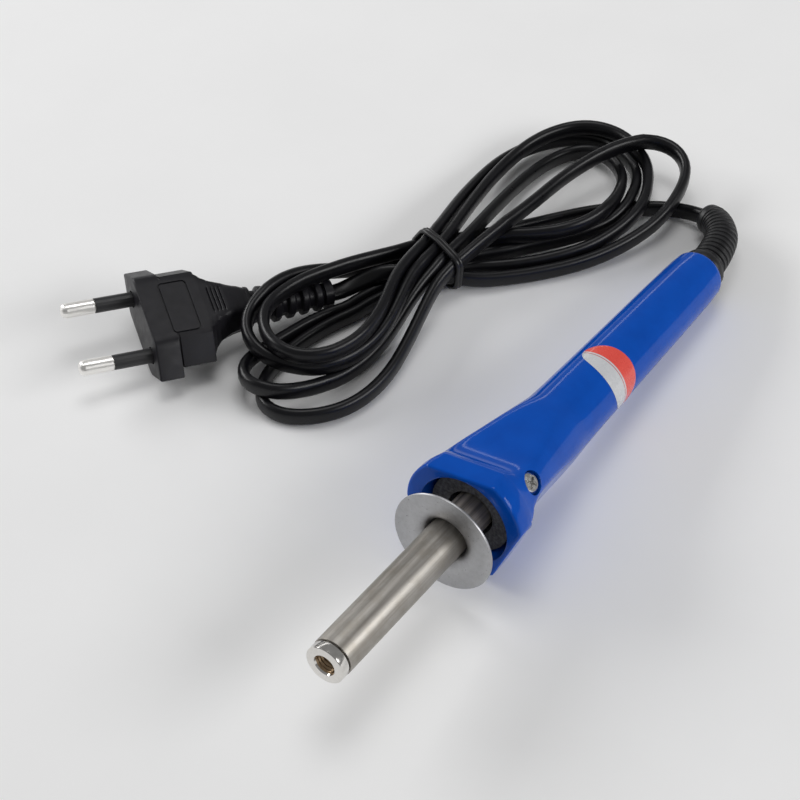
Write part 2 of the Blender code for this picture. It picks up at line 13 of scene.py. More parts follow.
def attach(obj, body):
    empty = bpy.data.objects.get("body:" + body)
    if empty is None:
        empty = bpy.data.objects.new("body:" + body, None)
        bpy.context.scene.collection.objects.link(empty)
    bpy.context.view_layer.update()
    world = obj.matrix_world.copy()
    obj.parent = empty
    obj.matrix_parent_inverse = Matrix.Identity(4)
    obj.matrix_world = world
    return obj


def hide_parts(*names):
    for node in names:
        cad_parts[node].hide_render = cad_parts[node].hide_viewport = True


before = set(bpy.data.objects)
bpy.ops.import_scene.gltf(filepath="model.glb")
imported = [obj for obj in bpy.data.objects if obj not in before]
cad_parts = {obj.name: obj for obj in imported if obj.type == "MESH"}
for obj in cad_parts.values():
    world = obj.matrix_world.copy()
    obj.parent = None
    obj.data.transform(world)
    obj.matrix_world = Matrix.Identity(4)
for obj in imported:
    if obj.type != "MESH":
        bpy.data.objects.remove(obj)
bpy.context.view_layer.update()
MM = 0.001


def mm(*xyz):
    """A point given in millimetres."""
    return Vector(xyz) * MM


def add_object(name, data):
    """A new object in the scene."""
    obj = bpy.data.objects.new(name, data)
    bpy.context.scene.collection.objects.link(obj)
    return obj


# -------- camera

LENS, SENSOR = 83.4, 36.0
CAMERA_PLACE = (-269.4, -148.05, 334.0)
CAMERA_AZIMUTH = math.radians(34.756)
CAMERA_DROP = math.radians(44.941)


def make_camera():
    """The photograph's camera, solved from the iron's round edges."""
    data = bpy.data.cameras.new("camera")
    data.lens = LENS
    data.sensor_width = SENSOR
    data.dof.use_dof = False
    cam = add_object("camera", data)
    level = math.cos(CAMERA_DROP)
    look = Vector((level * math.cos(CAMERA_AZIMUTH), level * math.sin(CAMERA_AZIMUTH),
                   -math.sin(CAMERA_DROP)))
    cam.location = mm(*CAMERA_PLACE)
    cam.rotation_euler = look.to_track_quat('-Z', 'Y').to_euler()
    bpy.context.scene.camera = cam


make_camera()

# -------- the CAD's own axes

# The iron lies on its mouth's round corner and on its rear edge, which sets its tilt.
# Stations run back along the iron from the nose, and back from the pins' side of the plug.
MOUTH_STATION, MOUTH_RADIUS = 56.5, 15.65
REAR_STATION, REAR_RADIUS = 165.0, 7.5
ORIGIN_STATION, SIDE_SHIFT = 84.92, -0.16
TILT = math.atan((MOUTH_RADIUS - REAR_RADIUS) / (REAR_STATION - MOUTH_STATION))
YAW = math.radians(0.235)
AXIS_HEIGHT = MOUTH_RADIUS * math.cos(TILT) + (MOUTH_STATION - ORIGIN_STATION) * math.sin(TILT)
IRON = (Matrix.Translation(mm(0.0, SIDE_SHIFT, AXIS_HEIGHT)) @ Matrix.Rotation(YAW, 4, 'Z')
        @ Matrix.Rotation(TILT, 4, 'Y') @ Matrix.Translation(mm(-ORIGIN_STATION, 0, 0)))
PLUG_PLACE = (-18.5, 107.1, 9.7)
PLUG_YAW, PLUG_PITCH, PLUG_ROLL = math.radians(146.4), math.radians(-5.7), math.radians(-12.5)
PLUG = (Matrix.Translation(mm(*PLUG_PLACE)) @ Matrix.Rotation(PLUG_YAW, 4, 'Z')
        @ Matrix.Rotation(PLUG_PITCH, 4, 'Y') @ Matrix.Rotation(PLUG_ROLL, 4, 'X'))
PLUG_TAIL = 52.0


def in_mm(matrix, *xyz):
    """A point of the iron's or the plug's own frame, in row millimetres."""
    return np.array(matrix @ mm(*xyz)) / MM


# -------- mesh helpers


def finish_mesh(name, bm, sharp=40.0):
    """Turn a bmesh into an object with smooth shading and sharp creases."""
    bmesh.ops.recalc_face_normals(bm, faces=bm.faces)
    mesh = bpy.data.meshes.new(name)
    bm.to_mesh(mesh)
    bm.free()
    mesh.shade_smooth()
    mesh.set_sharp_from_angle(angle=math.radians(sharp))
    return add_object(name, mesh)


def angles(count):
    """Even angles round a full turn."""
    return [2 * math.pi * i / count for i in range(count)]


def ring_points(matrix, station, radius, count):
    """A circle round a frame's X axis."""
    return [matrix @ mm(station, radius * math.cos(a), radius * math.sin(a)) for a in angles(count)]


def loft(rings, closed=False):
    """Join rings of equal length; closed joins the last to the first, otherwise both ends are capped."""
    bm = bmesh.new()
    loops = [[bm.verts.new(p) for p in ring] for ring in rings]
    count = len(loops[0])
    pairs = list(zip(loops, loops[1:]))
    if closed:
        pairs.append((loops[-1], loops[0]))
    for one, two in pairs:
        for i in range(count):
            j = (i + 1) % count
            bm.faces.new((one[i], one[j], two[j], two[i]))
    if not closed:
        bm.faces.new(loops[0])
        bm.faces.new(list(reversed(loops[-1])))
    return bm


def rounded(profile, size):
    """A closed (station, radius) profile with each corner eased over size millimetres."""
    steps = 3
    out = []
    pts = [np.array(p, float) for p in profile]
    for i, p in enumerate(pts):
        a, b = pts[i - 1], pts[(i + 1) % len(pts)]
        la, lb = np.linalg.norm(a - p), np.linalg.norm(b - p)
        back = min(size, la * 0.45, lb * 0.45)
        one, two = p + (a - p) / la * back, p + (b - p) / lb * back
        for k in range(steps + 1):
            t = k / steps
            out.append(tuple((1 - t) ** 2 * one + 2 * t * (1 - t) * p + t * t * two))
    return out


def turned(name, profile, finish, ease, count=96):
    """A piece turned round the iron's axis, its corners eased over so many millimetres."""
    shape = rounded(profile, ease) if ease else profile
    obj = finish_mesh(name, loft([ring_points(IRON, s, r, count) for s, r in shape], True), 30.0)
    obj.data.materials.append(finish)
    return obj


def cut(target, cutter):
    """Boolean difference, applied at once; the cutter is removed."""
    mod = target.modifiers.new("cut", 'BOOLEAN')
    mod.operation = 'DIFFERENCE'
    mod.solver = 'EXACT'
    mod.object = cutter
    bpy.context.view_layer.update()
    seen = target.evaluated_get(bpy.context.evaluated_depsgraph_get())
    fresh = bpy.data.meshes.new_from_object(seen)
    target.modifiers.clear()
    target.data = fresh
    bpy.data.objects.remove(cutter, do_unlink=True)


def refinish(obj, sharp, finish):
    """Shade a piece again after its cuts and give it its one material."""
    obj.data.shade_smooth()
    obj.data.set_sharp_from_angle(angle=math.radians(sharp))
    obj.data.materials.clear()
    obj.data.materials.append(finish)


# -------- cord

CORD_WIDTH = 4.8
CORD_THICKNESS = 3.1
EDGE = CORD_WIDTH / 2
STEP = 2.0

# Guide points of the tied hank in millimetres, in order from the iron to the plug.
# Each strand runs from one lobe to the other and passes through the tie.
LEAD = ((109.7, 11.5, 4.6), (110.6, 16.5, 3.2), (109, 23.5, 2.6), (98, 37.5, 2.5),
        (88, 45.5, 2.5), (78.5, 52.5, 2.5), (66, 61, 2.5))
LEFT_1 = ((59, 66, 2.6), (45.6, 76.7, 3.2), (38, 81.5, 3.7), (28.2, 84.2, 5.5), (20, 85, 9),
          (10.5, 83.7, 13), (2.5, 83, 14.5), (-2.5, 81, 13), (-5, 74.5, 9), (-3, 68, 7.5),
          (1.5, 63.5, 7), (8.5, 60.5, 7), (16, 59.5, 7.5), (24, 61, 8), (31, 63, 8.5),
          (38, 65, 9))
RIGHT_1 = ((45, 65.7, 9), (52.5, 66, 8.5), (62.5, 67.5, 8), (72, 69.5, 7), (84, 71, 6),
           (97.5, 71.5, 5), (110, 69, 4), (119, 64, 3.5), (124, 58.5, 3.5), (125.5, 51, 3.5),
           (121.5, 43.5, 4.5), (115.5, 37, 6), (107, 32, 8), (97.5, 29.5, 8.5), (91, 30.5, 7),
           (86, 34.5, 5), (80, 40.5, 3), (72, 48.5, 2.6), (65.5, 54, 2.6))
LEFT_2 = ((60.5, 57.5, 2.6), (52, 62, 2.6), (39.5, 68, 2.6), (29, 72, 2.5), (20, 75.5, 2.5),
          (10, 78, 2.5), (1, 79.5, 2.5), (-4.5, 81, 3.2), (-10.5, 80.3, 4.5), (-15.5, 77, 6),
          (-17.8, 71.8, 6.8), (-16, 66.5, 6.5), (-10.5, 62, 5.6), (-3.2, 59.3, 4.1),
          (4.5, 57.7, 3.6), (12.5, 56.5, 3.5), (22.5, 57, 4.5), (31, 59, 6), (38.5, 60, 7.6))
RIGHT_2 = ((45, 60, 7.6), (53.5, 59.2, 7.6), (60.5, 59.2, 7.2), (71, 60.5, 6), (82, 61.5, 5),
           (96, 62, 4), (108, 61, 3.2), (115, 58.5, 3), (120, 54.5, 3), (119, 48, 3.5),
           (112.5, 40.5, 5), (105.5, 36, 7.5), (96.5, 33.5, 8.5), (90.5, 34, 7.5),
           (85.5, 37.5, 5), (79, 43.5, 3.5), (74, 49.5, 2.8), (68, 55.5, 2.6))
LEFT_3 = ((63.5, 59.5, 2.6), (55.5, 64, 2.6), (50, 68.5, 2.6), (45, 71.5, 2.6), (37.5, 77.5, 2.8),
          (30.5, 82.5, 3.2), (22, 85.5, 5.5), (15.5, 86.3, 8.5), (7.5, 86.2, 12), (0.8, 86, 13.5),
          (-4, 85.6, 13), (-6, 83.5, 10), (-7.5, 79.5, 8), (-7.5, 74, 7.6), (-5, 68, 6.5),
          (-1, 61.5, 6), (6, 58.5, 5), (14, 57.5, 5), (23.5, 58.5, 5.5), (30.5, 60, 7),
          (38, 62, 7.8))
RIGHT_3 = ((46, 62.7, 7.8), (56.5, 63.3, 7.6), (65.5, 65, 7), (79, 67.5, 6), (91.5, 69, 5.5),
           (104.5, 69, 5), (115.5, 67.5, 4), (124, 63.5, 3.5), (128, 59, 3.2), (128.5, 52, 3.5),
           (124.5, 43, 5), (118.5, 35.5, 6.5), (111, 30.5, 8.5), (102, 26.5, 8.5),
           (94.5, 26.5, 7), (89, 28.5, 5), (83, 31, 3.5), (76.5, 35, 2.8), (69, 40.5, 2.6),
           (61, 48, 2.6))
LEFT_4 = ((56, 54.5, 2.6), (49, 59.5, 2.6), (36, 65.5, 2.6), (26, 70, 2.5), (16.5, 72.5, 2.5),
          (7.5, 74.5, 2.5), (-0.5, 75, 2.5), (-8.5, 74.5, 2.5), (-14.5, 72.5, 2.5),
          (-18, 69, 2.5), (-19, 64, 2.5), (-16, 58.5, 2.5), (-10.5, 53, 2.5), (-2.5, 49.5, 2.5),
          (9, 49, 2.7), (21.5, 51.5, 3), (31, 53.6, 4.5), (38, 55, 6.5))
RIGHT_4 = ((43.5, 55.7, 7.6), (49, 55.2, 7.8), (57.5, 54.5, 7.8), (69, 53.5, 7.8), (82, 52, 7.8),
           (96, 50.5, 8.5), (107.5, 47.5, 9.5), (117.5, 43.5, 10), (125, 39.5, 9), (129, 35, 6.5),
           (128, 29.5, 5), (121, 24.5, 6), (110, 20.5, 8.5), (101.5, 20, 7), (95, 22, 4.5),
           (85, 26, 2.8), (75, 31, 2.6), (65.5, 38, 2.6), (57, 45.5, 2.6))
PLUG_RUN = ((52.5, 50.5, 2.6), (50.5, 55.5, 2.6), (46, 61, 5), (43, 65.5, 5.5), (39.5, 69.5, 5),
            (33, 74.5, 4.5), tuple(in_mm(PLUG, -PLUG_TAIL - 2.5, 0, 0)),
            tuple(in_mm(PLUG, -PLUG_TAIL + 1.0, 0, 0)))
GUIDES = LEAD + LEFT_1 + RIGHT_1 + LEFT_2 + RIGHT_2 + LEFT_3 + RIGHT_3 + LEFT_4 + RIGHT_4 + PLUG_RUN

# How the cord settles, in millimetres and in shares of a move per round.
ROUNDS = 700
CALM_FROM = 0.75                          # the last part runs with half the pull
SINK, CALM_SINK = 0.02, 0.005
PULL, CALM_PULL = 0.03, 0.015
AIM_GAIN, AIM_REACH = 0.03, 2.2
LEAN = np.array([-0.82, -0.57])           # a strand that lies 1 higher sits this much nearer the viewer
LEAN_REACH = 6.0
# A bend over so many points to each side is undone by these shares along x, y and z.
BEND_STIFFNESS = ((4, (0.006, 0.006, 0.10)), (2, (0.05, 0.05, 0.10)), (1, (0.10, 0.10, 0.10)))
SPACE = 0.1                               # air between two strands
TAIL_START, TAIL_RADIUS, TAIL_TAPER, TAIL_SPACE = 30.0, 5.3, 1.6, 2.2
FIXED_ENDS = 3                            # points at each end that keep their place
PLUGGED_END = 12                          # points before the plug that may touch its tail
TURN_LENGTH = 32.0                        # over which the cord turns flat before the plug
SQUARENESS = 0.82                         # of the cord's section: 1 is an ellipse
VALLEY, VALLEY_WIDTH = 0.1, 0.55          # the dip between its two cores


def catmull(points, step):
    """Points one step apart on a smooth curve through the given ones."""
    pts = [np.array(p, float) for p in points]
    pts = [2 * pts[0] - pts[1]] + pts + [2 * pts[-1] - pts[-2]]
    fine = []
    for p0, p1, p2, p3 in zip(pts, pts[1:], pts[2:], pts[3:]):
        for t in np.linspace(0.0, 1.0, 24, endpoint=False):
            fine.append(0.5 * (2 * p1 + (p2 - p0) * t + (2 * p0 - 5 * p1 + 4 * p2 - p3) * t * t
                               + (3 * p1 - p0 - 3 * p2 + p3) * t ** 3))
    fine.append(pts[-2])
    return respaced(np.array(fine), step)


def respaced(fine, step):
    """The same curve with its points at even distances."""
    along = np.concatenate([[0.0], np.cumsum(np.linalg.norm(np.diff(fine, axis=0), axis=1))])
    count = int(round(along[-1] / step))
    marks = np.linspace(0.0, along[-1], count + 1)
    return np.stack([np.interp(marks, along, fine[:, k]) for k in range(3)], axis=1)


def strand_push(pts, near, squash):
    """Moves that take strands which come too near each other half the missing distance apart."""
    gap = (pts[near[0]] - pts[near[1]]) * squash
    size = np.sqrt((gap ** 2).sum(axis=1)) + 1e-9
    short = np.clip(CORD_THICKNESS + SPACE - size, 0.0, None)
    push = gap / size[:, None] * (short * 0.5)[:, None] / squash
    move = np.zeros_like(pts)
    weight = np.ones(len(pts))
    for side, sign in ((near[0], 1.0), (near[1], -1.0)):
        np.add.at(move, side, push * sign)
        np.add.at(weight, side[short > 0], 0.5)
    return move / weight[:, None]


def tail_push(pts):
    """Moves that take the cord off the plug's tapered tail."""
    start = in_mm(PLUG, -TAIL_START, 0, 0)
    tail = in_mm(PLUG, -PLUG_TAIL - 1.0, 0, 0) - start
    along = np.clip(((pts - start) @ tail) / (tail @ tail), 0.0, 1.0)
    off = pts - (start + along[:, None] * tail)
    dist = np.sqrt((off ** 2).sum(axis=1)) + 1e-9
    inside = np.clip(TAIL_RADIUS - TAIL_TAPER * along + TAIL_SPACE - dist, 0.0, None)
    inside[-PLUGGED_END:] = 0.0
    return off / dist[:, None] * (inside * 0.6)[:, None]


def settle(path):
    """Let the cord lie: it keeps off itself, the plug and the floor, bends smoothly and sinks.

    Heights are scaled so that the flat cord on its edge keeps one distance all round.
    """
    squash = np.array([1.0, 1.0, CORD_THICKNESS / CORD_WIDTH])
    n = len(path)
    first, second = np.triu_indices(n, 4)
    pts = path.copy()
    free = np.ones((n, 1))
    free[:FIXED_ENDS] = 0.0
    free[-FIXED_ENDS:] = 0.0
    near = None
    aim = np.zeros((n, 2))                # bending draws the loops in, so the pull aims a little further
    for k in range(ROUNDS):
        calm = k > ROUNDS * CALM_FROM
        pts[:, 2] -= (CALM_SINK if calm else SINK) * free[:, 0]
        pull = path - pts
        pull[:, :2] += np.clip(pts[:, 2:] - path[:, 2:], -LEAN_REACH, LEAN_REACH) * LEAN
        if not calm:
            aim = np.clip(aim + AIM_GAIN * pull[:, :2], -AIM_REACH, AIM_REACH)
        pull[:, :2] += aim
        pts += (CALM_PULL if calm else PULL) * np.array([1.0, 1.0, 0.3]) * pull * free
        for reach, stiff in BEND_STIFFNESS:
            bend = np.zeros_like(pts)
            inner = slice(2 * reach, -2 * reach)
            bend[inner] = (-pts[:-4 * reach] + 4 * pts[reach:-3 * reach] - 6 * pts[inner]
                           + 4 * pts[3 * reach:-reach] - pts[4 * reach:])
            pts += np.array(stiff) * bend * free
        if k % 8 == 0:
            gap = (pts[first] - pts[second]) * squash
            close = (gap ** 2).sum(axis=1) < (CORD_THICKNESS + 2.5) ** 2
            near = (first[close], second[close])
        for _ in range(3):
            pts += strand_push(pts, near, squash) * free * 1.5
            pts += tail_push(pts) * free
            pts[:, 2] = np.where(free[:, 0] > 0, np.maximum(pts[:, 2], EDGE), pts[:, 2])
    return pts


def unit(v):
    """Vectors of length one in the same directions."""
    return v / np.maximum(np.linalg.norm(v, axis=-1, keepdims=True), 1e-12)


def cord_section(count):
    """A flat twin cord's outline: two round cores side by side with a shallow valley between."""
    shape = []
    for a in angles(count):
        side = math.cos(a) * CORD_THICKNESS / 2
        rise = math.sin(a)
        high = math.copysign(abs(rise) ** SQUARENESS, rise) * CORD_WIDTH / 2
        valley = VALLEY * math.exp(-(high / VALLEY_WIDTH) ** 2)
        side -= math.copysign(valley, side) if abs(side) > 0.3 else 0.0
        shape.append((side, high))
    return shape


def sweep_cord(name, path, turn_end):
    """A mesh tube with the cord's section standing on edge, turning flat over the last part."""
    section = cord_section(20)
    tangent = unit(np.gradient(path, axis=0))
    side = unit(np.cross(tangent, np.array([0.0, 0.0, 1.0])))
    up = np.cross(side, tangent)
    rings = []
    left = len(path) - np.arange(len(path))
    width_axis = np.array(PLUG.to_3x3() @ Vector((0, 1, 0)))
    final = math.atan2(float(width_axis @ side[-1]), float(width_axis @ up[-1]))
    if final > math.pi / 2:
        final -= math.pi
    if final < -math.pi / 2:
        final += math.pi
    for i, p in enumerate(path):
        share = min(1.0, max(0.0, 1.0 - left[i] * STEP / turn_end))
        angle = final * share * share * (3 - 2 * share)
        u = up[i] * math.cos(angle) + side[i] * math.sin(angle)
        s = side[i] * math.cos(angle) - up[i] * math.sin(angle)
        rings.append([(p + s * a + u * b) * MM for a, b in section])
    return finish_mesh(name, loft(rings))


PATH = respaced(settle(catmull(GUIDES, STEP)), STEP)
cord = sweep_cord("cord", PATH, TURN_LENGTH)

# -------- materials


def new_material(name):
    """A node material, its tree and its shader."""
    mat = bpy.data.materials.new(name)
    mat.use_nodes = True
    return mat, mat.node_tree, mat.node_tree.nodes["Principled BSDF"]


def place_map(tree, turn=None, stretch=(1.0, 1.0, 1.0)):
    """Object coordinates in metres, turned into a piece's own axes and then stretched."""
    coords = tree.nodes.new("ShaderNodeTexCoord")
    out = coords.outputs["Object"]
    if turn is not None:
        spin = tree.nodes.new("ShaderNodeMapping")
        spin.inputs["Rotation"].default_value = turn.to_3x3().inverted().to_euler()
        spin.inputs["Location"].default_value = turn.inverted().translation
        tree.links.new(out, spin.inputs["Vector"])
        out = spin.outputs["Vector"]
    scale = tree.nodes.new("ShaderNodeMapping")
    scale.inputs["Scale"].default_value = stretch
    tree.links.new(out, scale.inputs["Vector"])
    return scale.outputs["Vector"]


def noise(tree, where, size, detail=4.0, rough=0.55):
    """Noise whose features are about size millimetres across."""
    node = tree.nodes.new("ShaderNodeTexNoise")
    node.inputs["Scale"].default_value = 1000.0 / size
    node.inputs["Detail"].default_value = detail
    node.inputs["Roughness"].default_value = rough
    tree.links.new(where, node.inputs["Vector"])
    return node.outputs["Fac"]


def ramp(tree, value, *stops):
    """A colour that follows a 0..1 value through (position, colour) stops."""
    node = tree.nodes.new("ShaderNodeValToRGB")
    node.color_ramp.elements[0].position = stops[0][0]
    node.color_ramp.elements[0].color = (*stops[0][1], 1.0)
    node.color_ramp.elements[1].position = stops[-1][0]
    node.color_ramp.elements[1].color = (*stops[-1][1], 1.0)
    for at, color in stops[1:-1]:
        node.color_ramp.elements.new(at).color = (*color, 1.0)
    tree.links.new(value, node.inputs["Fac"])
    return node.outputs["Color"]


def spread(tree, value, low, high):
    """Map a noise value, which mostly stays within 0.3..0.7, to low..high."""
    node = tree.nodes.new("ShaderNodeMapRange")
    node.inputs["From Min"].default_value = 0.3
    node.inputs["From Max"].default_value = 0.7
    node.inputs["To Min"].default_value = low
    node.inputs["To Max"].default_value = high
    tree.links.new(value, node.inputs["Value"])
    return node.outputs["Result"]


def blend_colors(tree, value, one, two):
    """Mix two colours, each a constant or another node's output, by a 0..1 value."""
    node = tree.nodes.new("ShaderNodeMix")
    node.data_type = 'RGBA'
    tree.links.new(value, node.inputs["Factor"])
    for slot, color in ((6, one), (7, two)):
        if isinstance(color, tuple):
            node.inputs[slot].default_value = (*color, 1.0)
        else:
            tree.links.new(color, node.inputs[slot])
    return node.outputs[2]


def bump(tree, shader, height, strength, depth):
    """Surface relief of about depth millimetres."""
    node = tree.nodes.new("ShaderNodeBump")
    node.inputs["Strength"].default_value = strength
    node.inputs["Distance"].default_value = depth * MM
    tree.links.new(height, node.inputs["Height"])
    tree.links.new(node.outputs["Normal"], shader.inputs["Normal"])


def plastic(name, light, dark, rough, grain=0.35, relief=0.02, shine=0.5, patch=6.0):
    """Moulded plastic: a mottled colour, uneven gloss and a fine grain."""
    mat, tree, shader = new_material(name)
    where = place_map(tree)
    tree.links.new(ramp(tree, noise(tree, where, patch), (0.3, dark), (0.7, light)),
                   shader.inputs["Base Color"])
    tree.links.new(spread(tree, noise(tree, where, 2.5), rough[0], rough[1]), shader.inputs["Roughness"])
    shader.inputs["Specular IOR Level"].default_value = shine
    bump(tree, shader, noise(tree, where, grain, 6.0, 0.65), 0.6, relief)
    return mat


def times(tree, value, factor):
    """A node that gives value times factor, plus whatever its third input holds."""
    node = tree.nodes.new("ShaderNodeMath")
    node.operation = 'MULTIPLY_ADD'
    node.inputs[1].default_value = factor
    tree.links.new(value, node.inputs[0])
    return node


EVEN = (1.0, 1.0, 1.0)
ALONG = (0.02, 1.0, 1.0)                  # stretches a pattern into streaks along a piece


def scorch(tree, shader, turn, station, color, gloss):
    """Past a station the steel is browned by the heat: duller, rougher and less like bare metal."""
    split = tree.nodes.new("ShaderNodeSeparateXYZ")
    tree.links.new(place_map(tree, turn), split.inputs["Vector"])
    edge = tree.nodes.new("ShaderNodeMapRange")
    edge.inputs["From Min"].default_value = (station - 1.5) * MM
    edge.inputs["From Max"].default_value = (station + 1.5) * MM
    tree.links.new(split.outputs["X"], edge.inputs["Value"])
    hot = edge.outputs["Result"]
    bare = times(tree, hot, -0.6)
    bare.inputs[2].default_value = 1.0
    tree.links.new(bare.outputs["Value"], shader.inputs["Metallic"])
    dull = times(tree, hot, 0.12)
    tree.links.new(gloss, dull.inputs[2])
    fire = ramp(tree, noise(tree, place_map(tree, turn, ALONG), 1.4),
                (0.35, (0.10, 0.09, 0.085)), (0.65, (0.42, 0.38, 0.34)))
    return blend_colors(tree, hot, color, fire), dull.outputs["Value"]


def metal(name, light, dark, rough, size, turn=None, streak=EVEN, relief=0.01, tarnish=None, hot_from=None):
    """Bare metal: streaks of two tones that also set the polish and the relief.

    tarnish adds patches, given as their size, where they start and are full, and their colour;
    hot_from is the station past which the metal is browned.
    """
    mat, tree, shader = new_material(name)
    shader.inputs["Metallic"].default_value = 1.0
    brushed = place_map(tree, turn, streak)
    plain = place_map(tree)
    lines = noise(tree, brushed, size, 8.0, 0.6)
    color = ramp(tree, lines, (0.28, dark), (0.72, light))
    if tarnish:
        patch, start, full, tone = tarnish
        spots = ramp(tree, noise(tree, plain, patch, 5.0), (start, (0.0,) * 3), (full, (1.0,) * 3))
        color = blend_colors(tree, spots, color, tone)
    gloss = spread(tree, lines, rough[0], rough[1])
    if hot_from:
        color, gloss = scorch(tree, shader, turn, hot_from, color, gloss)
    tree.links.new(color, shader.inputs["Base Color"])
    tree.links.new(gloss, shader.inputs["Roughness"])
    bump(tree, shader, lines, 0.5, relief)
    return mat


BLUE = plastic("handle_plastic", (0.0012, 0.080, 0.475), (0.001, 0.068, 0.42), (0.07, 0.12),
               grain=0.9, relief=0.002, shine=0.18)
CORD = plastic("cord_jacket", (0.006, 0.006, 0.0078), (0.0035, 0.0035, 0.0045), (0.27, 0.36),
               grain=1.2, relief=0.003, shine=0.32)
RUBBER = plastic("boot_rubber", (0.010, 0.010, 0.012), (0.006, 0.006, 0.007), (0.36, 0.48), shine=0.4)
PLUG_BLACK = plastic("plug_plastic", (0.0105, 0.010, 0.013), (0.007, 0.0066, 0.0088), (0.36, 0.48),
                     grain=0.3, shine=0.28)
SLEEVE = plastic("sleeve_plastic", (0.020, 0.020, 0.022), (0.014, 0.014, 0.015), (0.35, 0.45), grain=0.3)
TIE = plastic("tie_plastic", (0.008, 0.008, 0.009), (0.005, 0.005, 0.006), (0.3, 0.45),
              grain=0.5, relief=0.03)
WASHER = plastic("washer_board", (0.13, 0.13, 0.135), (0.030, 0.030, 0.033), (0.7, 0.9),
                 grain=0.4, relief=0.18, shine=0.4, patch=0.7)
BARREL = metal("barrel_steel", (0.45, 0.43, 0.40), (0.31, 0.29, 0.265), (0.38, 0.50), 0.5, IRON, ALONG,
               relief=0.004, tarnish=(4.5, 0.42, 0.74, (0.31, 0.285, 0.25)), hot_from=46.5)
DISC = metal("disc_steel", (0.50, 0.505, 0.52), (0.40, 0.40, 0.41), (0.36, 0.48), 1.6, IRON,
             tarnish=(0.45, 0.66, 0.70, (0.10, 0.10, 0.10)))
CHROME = metal("nose_chrome", (0.80, 0.78, 0.75), (0.72, 0.70, 0.67), (0.12, 0.20), 0.9, IRON,
               relief=0.001, tarnish=(0.6, 0.7, 0.78, (0.32, 0.28, 0.22)))
BRASS = metal("nose_chrome_thread", (0.52, 0.38, 0.24), (0.30, 0.21, 0.13), (0.25, 0.4), 0.5, IRON)
SCREW = metal("plated_screw", (0.84, 0.84, 0.83), (0.66, 0.66, 0.65), (0.12, 0.22), 0.5)
PIN = metal("pin_metal", (0.97, 0.96, 0.93), (0.90, 0.88, 0.85), (0.30, 0.40), 0.4, PLUG, (0.1, 1.0, 1.0),
            relief=0.001)
CLAMP = metal("clamp_steel", (0.13, 0.12, 0.11), (0.05, 0.045, 0.04), (0.40, 0.55), 0.9, IRON)
COIL = metal("coil_wire", (0.42, 0.38, 0.34), (0.25, 0.22, 0.19), (0.35, 0.5), 0.2, relief=0.005)
CRIMP = metal("crimp_metal", (0.75, 0.74, 0.72), (0.58, 0.57, 0.55), (0.25, 0.4), 0.4, relief=0.008)
CERAMIC = plastic("heater_ceramic", (0.80, 0.77, 0.70), (0.66, 0.62, 0.54), (0.6, 0.8),
                  grain=0.3, relief=0.03)
MICA = plastic("mica", (0.52, 0.42, 0.26), (0.38, 0.29, 0.16), (0.35, 0.55), grain=0.8)
GLASS = plastic("glass_sleeving", (0.80, 0.79, 0.74), (0.66, 0.65, 0.60), (0.7, 0.9),
                grain=0.15, relief=0.05)
BROWN = plastic("core_brown", (0.24, 0.09, 0.03), (0.17, 0.06, 0.02), (0.35, 0.5), grain=0.4, relief=0.01)
CORE_BLUE = plastic("core_blue", (0.02, 0.14, 0.50), (0.015, 0.10, 0.40), (0.35, 0.5),
                    grain=0.4, relief=0.01)
GROMMET = plastic("grommet_plastic", (0.80, 0.80, 0.77), (0.68, 0.68, 0.65), (0.4, 0.55), grain=0.4)

CAD_FINISH = {
    "handle": BLUE, "retaining_screw": SCREW, "insulating_washer": WASHER, "barrel_tube": BARREL,
    "barrel_clamp": CLAMP, "guard_disc": DISC, "nose_bush": CHROME, "heater_core": CERAMIC,
    "ceramic_bead": CERAMIC, "heating_coil": COIL, "heater_lead_live": COIL,
    "heater_lead_neutral": COIL, "mica_sleeve": MICA, "lead_sleeve_live": GLASS,
    "lead_sleeve_neutral": GLASS, "crimp_live": CRIMP, "crimp_neutral": CRIMP,
    "cord_core_live": BROWN, "cord_core_neutral": CORE_BLUE, "core_grommet": GROMMET,
    "plug_pin_near": PIN, "plug_pin_far": PIN, "pin_sleeve_near": SLEEVE, "pin_sleeve_far": SLEEVE,
}
for node, finish in CAD_FINISH.items():
    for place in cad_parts[node].material_slots:
        place.material = finish

cord.data.materials.append(CORD)

# -------- strain relief boot

HANDLE_END = 169.7
BOOT_ROUTE = ((94.0, 0.6, 7.1), (100.6, 2.0, 6.9), (105.3, 4.8, 6.3), (108.3, 7.8, 5.5),
              (109.6, 11.2, 4.7))
BOOT_STEP = 0.1
BOOT_GAP = 0.3                            # between the handle and the collar
BOOT_COLLAR = ((0.0, 4.4), (0.0, 5.9), (0.25, 6.15), (2.6, 6.0), (2.85, 5.8), (3.0, 4.6))
BOOT_RADIUS, BOOT_TAPER = 4.95, 0.75
BOOT_RINGS, BOOT_PLAIN_END = 14.0, 3.0
RING_GAP_DEPTH, RING_GAP_WIDTH, RING_SWELL = 0.75, 0.13, 0.12
BOOT_ROUND_END, BOOT_END_LOSS = 2.2, 0.42


def boot_radius(along, total):
    """The boot's radius along its run: it tapers, is grooved between the rings and ends rounded."""
    body = BOOT_RADIUS - BOOT_TAPER * along / total
    if along < total - BOOT_PLAIN_END:
        pitch = (total - BOOT_PLAIN_END) / BOOT_RINGS
        phase = (along % pitch) / pitch
        body -= (RING_GAP_DEPTH * math.exp(-((phase - 0.5) / RING_GAP_WIDTH) ** 2)
                 - RING_SWELL * math.sin(math.pi * phase))
    tail = max(0.0, along - total + BOOT_ROUND_END) / BOOT_ROUND_END
    return body * math.sqrt(max(0.0, 1.0 - BOOT_END_LOSS * tail ** 3))


